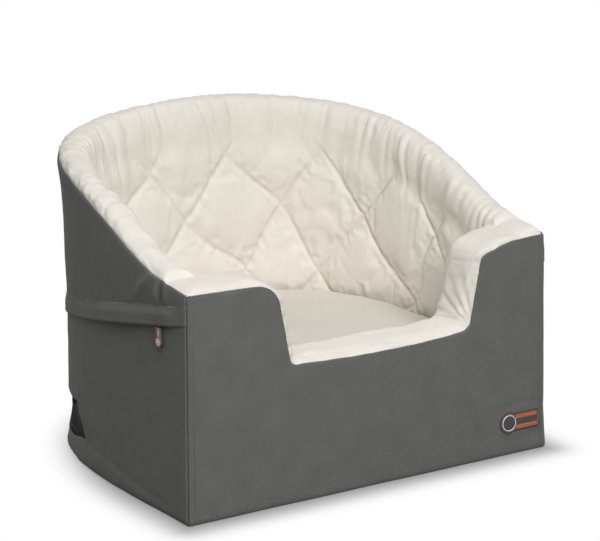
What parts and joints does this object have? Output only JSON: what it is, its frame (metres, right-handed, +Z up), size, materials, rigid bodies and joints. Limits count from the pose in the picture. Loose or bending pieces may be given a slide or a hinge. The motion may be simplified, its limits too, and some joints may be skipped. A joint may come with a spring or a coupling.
{
  "type": "dog car seat",
  "caption": "Booster seat for a dog: raised foam floor, notched front, high rounded back, quilted plush lining, zipped grey cover and a channel for the car's belt.",
  "frame": {"origin": "on the resting face, in the middle of the seat's width and of its depth from front face to back face", "axes": "+X to the seat's right as seen from its front, +Y to its back, +Z up"},
  "size_m": [0.6242, 0.5351, 0.4668],
  "materials": {
    "grey_cloth": "woven polyester, matt",
    "cream_plush": "short soft plush",
    "foam": null,
    "board": "plain",
    "black_lining": "woven lining, matt",
    "zip_tape": "woven tape",
    "zip_teeth": "moulded coil",
    "zip_metal": "dark coating",
    "dark_rubber": "moulded, matt",
    "copper_rubber": "moulded, satin",
    "black_webbing": "woven strap",
    "ring_steel": "plated"
  },
  "bodies": {
    "seat": {"front_cover": "grey_cloth", "upper_cover": "grey_cloth", "lower_cover": "grey_cloth", "bottom_cover": "grey_cloth", "belt_sleeve": "grey_cloth", "zip_flap": "grey_cloth", "zip_tape_upper": "zip_tape", "zip_tape_lower": "zip_tape", "zip_chain": "zip_teeth", "zip_stop_front": "zip_metal", "zip_stop_rear": "zip_metal", "base_board": "board", "platform_foam_bottom": "foam", "platform_foam_middle": "foam", "platform_foam_top": "foam", "channel_lining": "black_lining", "front_foam": "foam", "wall_foam": "foam", "wall_liner": "cream_plush", "front_liner": "cream_plush", "tether_loop": "black_webbing", "badge": "dark_rubber", "badge_border": "copper_rubber"},
    "zip_slider": {"zip_slider": "zip_metal", "pull_link": "zip_metal"},
    "pull_tab": {"pull_tab": "dark_rubber", "pull_inlay": "copper_rubber"},
    "floor_pad": {"floor_pad": "cream_plush"},
    "tether_ring": {"tether_ring": "ring_steel"}
  },
  "joints": [
    {"name": "slider_slide", "type": "slide", "parent": "seat", "child": "zip_slider", "axis": [0, 0.9806, -0.1961], "range_m": [0, 0.13]},
    {"name": "puller_swing", "type": "hinge", "parent": "zip_slider", "child": "pull_tab", "pos_m": [-0.30785, -0.1975, 0.2664], "axis": [0, 1, 0], "range_deg": [0, 90]},
    {"name": "pad_lift", "type": "slide", "parent": "seat", "child": "floor_pad", "axis": [0, 0, 1], "range_m": [0, 0.35]},
    {"name": "ring_swing", "type": "hinge", "parent": "seat", "child": "tether_ring", "pos_m": [0, 0.1841, 0.193], "axis": [-1, 0, 0], "range_deg": [0, 150]}
  ]
}
